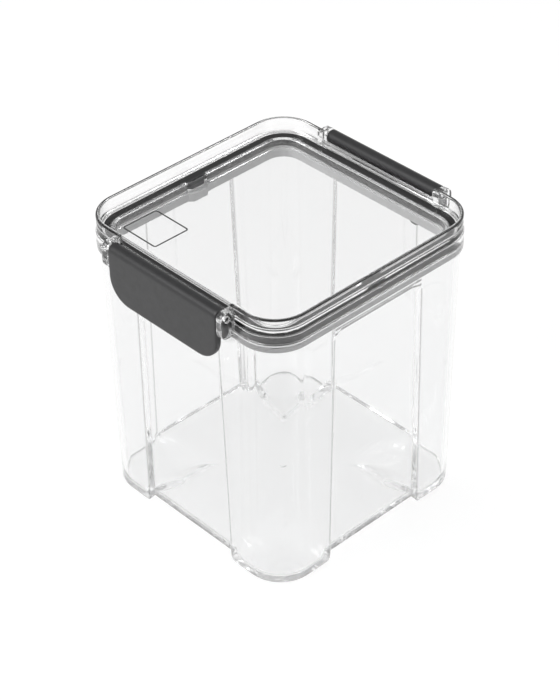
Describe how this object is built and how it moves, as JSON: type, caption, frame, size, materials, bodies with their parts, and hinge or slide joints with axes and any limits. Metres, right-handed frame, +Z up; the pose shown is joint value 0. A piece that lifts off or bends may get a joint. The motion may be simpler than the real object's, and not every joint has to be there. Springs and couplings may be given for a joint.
{
  "type": "modular storage container",
  "caption": "Clear square canister with a clear recessed lid, a dark gasket ring and flap latches that hook under the rim flange.",
  "frame": {"origin": "middle of the footprint, on the surface that the feet stand on", "axes": "+Z up, latches on the -Y and +Y sides, plain sides on -X and +X"},
  "size_m": [0.1108, 0.123, 0.132],
  "materials": {
    "clear_canister": "clear, polished",
    "clear_lid": "clear, polished",
    "gasket_silicone": "soft matte",
    "latch_plastic": "satin, dark grey"
  },
  "bodies": {
    "canister": {"canister_body": "clear_canister"},
    "lid": {"lid": "clear_lid", "gasket": "gasket_silicone"},
    "latch_front": {"latch_front": "latch_plastic"},
    "latch_rear": {"latch_rear": "latch_plastic"}
  },
  "joints": [
    {"name": "lid_lift", "type": "slide", "parent": "canister", "child": "lid", "axis": [0, 0, 1], "range_m": [0, 0.06]},
    {"name": "latch_front_hinge", "type": "hinge", "parent": "lid", "child": "latch_front", "pos_m": [0, -0.05835, 0.1277], "axis": [-1, 0, 0], "range_deg": [0, 115]},
    {"name": "latch_rear_hinge", "type": "hinge", "parent": "lid", "child": "latch_rear", "pos_m": [0, 0.05835, 0.1277], "axis": [1, 0, 0], "range_deg": [0, 115]}
  ]
}
